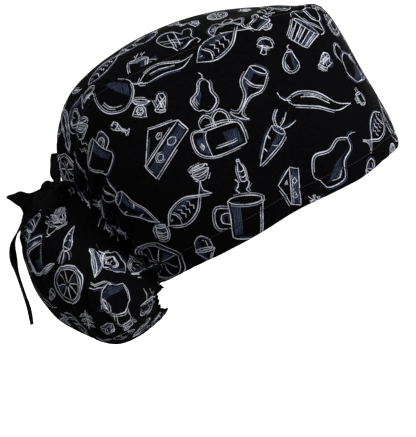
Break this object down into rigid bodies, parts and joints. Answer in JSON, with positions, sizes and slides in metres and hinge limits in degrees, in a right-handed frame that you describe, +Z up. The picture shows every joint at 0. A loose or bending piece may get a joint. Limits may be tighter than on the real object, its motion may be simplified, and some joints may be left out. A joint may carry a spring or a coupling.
{
  "type": "scrub cap",
  "caption": "Soft ponytail scrub cap with a deep front band, a crown panel, a gathered hair pouch at the nape and ties in a bow above it, in black cotton with a chalk-line print.",
  "frame": {"origin": "the middle of the head opening, halfway from the forehead hem to the nape hem", "axes": "+X to the forehead, +Y to the wearer's left, +Z up as the cap sits on an upright head"},
  "size_m": [0.2894, 0.1786, 0.2495],
  "materials": {
    "printed_cotton": "matt plain-weave cotton, black with a white and blue-grey line print",
    "plain_cotton": "matt black woven cotton tape"
  },
  "bodies": {
    "root": {"front_band": "printed_cotton", "front_hem": "printed_cotton", "casing_right": "printed_cotton", "casing_left": "printed_cotton", "crown_panel": "printed_cotton", "hair_pouch": "printed_cotton", "mouth_hem": "printed_cotton", "tie_knot": "plain_cotton", "tie_lead_right": "plain_cotton", "tie_lead_left": "plain_cotton", "tie_loop_right": "plain_cotton", "tie_loop_left": "plain_cotton", "tie_tail_right": "plain_cotton", "tie_tail_left": "plain_cotton"}
  },
  "joints": []
}
